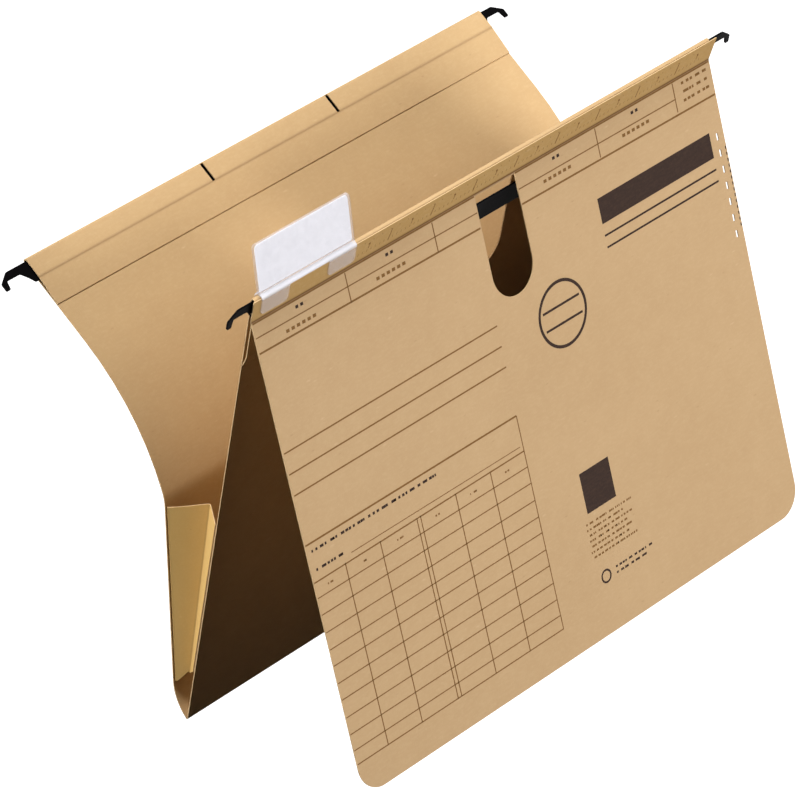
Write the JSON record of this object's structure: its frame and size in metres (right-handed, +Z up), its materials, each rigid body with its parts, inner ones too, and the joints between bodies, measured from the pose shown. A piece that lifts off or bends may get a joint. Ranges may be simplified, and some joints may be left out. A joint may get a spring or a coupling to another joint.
{
  "type": "hanging pocket file folder",
  "caption": "Hanging file folder in buff kraft board: gusseted pocket on two steel hook rails, printed swing cover with finger hole, and a clear index tab with its card.",
  "frame": {"origin": "middle of the rear rail hanging line: the middle of the steel strip at the height of its hook seats, half way along the board", "axes": "+X along the rails towards the right end of the cover, +Y from the cover to the back panel, +Z up"},
  "size_m": [0.3538, 0.1585, 0.2771],
  "materials": {
    "kraft_board": "matt buff kraft board with fine fibres, printed in dark brown on the cover",
    "kraft_inside": "matt buff kraft board, plain",
    "black_steel": "thin black lacquer on stamped steel strip, satin",
    "clear_plastic": "clear moulded plastic, polished",
    "white_card": "smooth white card"
  },
  "bodies": {
    "back": {"rear_rail": "black_steel", "back_panel": "kraft_inside", "left_gusset_rear_flap": "kraft_inside", "right_gusset_rear_flap": "kraft_inside"},
    "front": {"front_wall": "kraft_board", "front_rail": "black_steel", "cover_strip": "kraft_board", "left_gusset_front_flap": "kraft_inside", "right_gusset_front_flap": "kraft_inside"},
    "cover": {"cover": "kraft_board"},
    "tab": {"tab_holder": "clear_plastic"},
    "label": {"label_card": "white_card"},
    "left_rear_leaf": {"left_gusset_rear_leaf": "kraft_inside"},
    "left_front_leaf": {"left_gusset_front_leaf": "kraft_inside"},
    "right_rear_leaf": {"right_gusset_rear_leaf": "kraft_inside"},
    "right_front_leaf": {"right_gusset_front_leaf": "kraft_inside"}
  },
  "joints": [
    {"name": "pocket_fold", "type": "hinge", "parent": "back", "child": "front", "pos_m": [0, -0.03069, -0.23048], "axis": [1, 0, 0], "range_deg": [-8, 0]},
    {"name": "cover_hinge", "type": "hinge", "parent": "front", "child": "cover", "pos_m": [0, -0.14532, -0.00998], "axis": [1, 0, 0], "range_deg": [-110, 26]},
    {"name": "tab_slide", "type": "slide", "parent": "front", "child": "tab", "axis": [1, 0, 0], "range_m": [0, 0.25]},
    {"name": "label_slide", "type": "slide", "parent": "tab", "child": "label", "axis": [1, 0, 0], "range_m": [-0.07, 0]},
    {"name": "left_rear_crease", "type": "hinge", "parent": "back", "child": "left_rear_leaf", "pos_m": [-0.1577, -0.04175, -0.1628], "axis": [0, -0.2588, 0.9659], "range_deg": [0, 25.6]},
    {"name": "left_middle_crease", "type": "hinge", "parent": "left_rear_leaf", "child": "left_front_leaf", "pos_m": [-0.14901, -0.05242, -0.16203], "axis": [0.0881, -0.3554, 0.9306], "range_deg": [-60.8, 0]},
    {"name": "right_rear_crease", "type": "hinge", "parent": "back", "child": "right_rear_leaf", "pos_m": [0.1577, -0.04175, -0.1628], "axis": [0, -0.2588, 0.9659], "range_deg": [-25.6, 0]},
    {"name": "right_middle_crease", "type": "hinge", "parent": "right_rear_leaf", "child": "right_front_leaf", "pos_m": [0.14901, -0.05242, -0.16203], "axis": [-0.0881, -0.3554, 0.9306], "range_deg": [0, 60.8]}
  ],
  "couplings": [
    {"joint": "left_rear_crease", "follows": "pocket_fold", "ratio": -3.2},
    {"joint": "left_middle_crease", "follows": "pocket_fold", "ratio": 7.6},
    {"joint": "right_rear_crease", "follows": "pocket_fold", "ratio": 3.2},
    {"joint": "right_middle_crease", "follows": "pocket_fold", "ratio": -7.6}
  ]
}
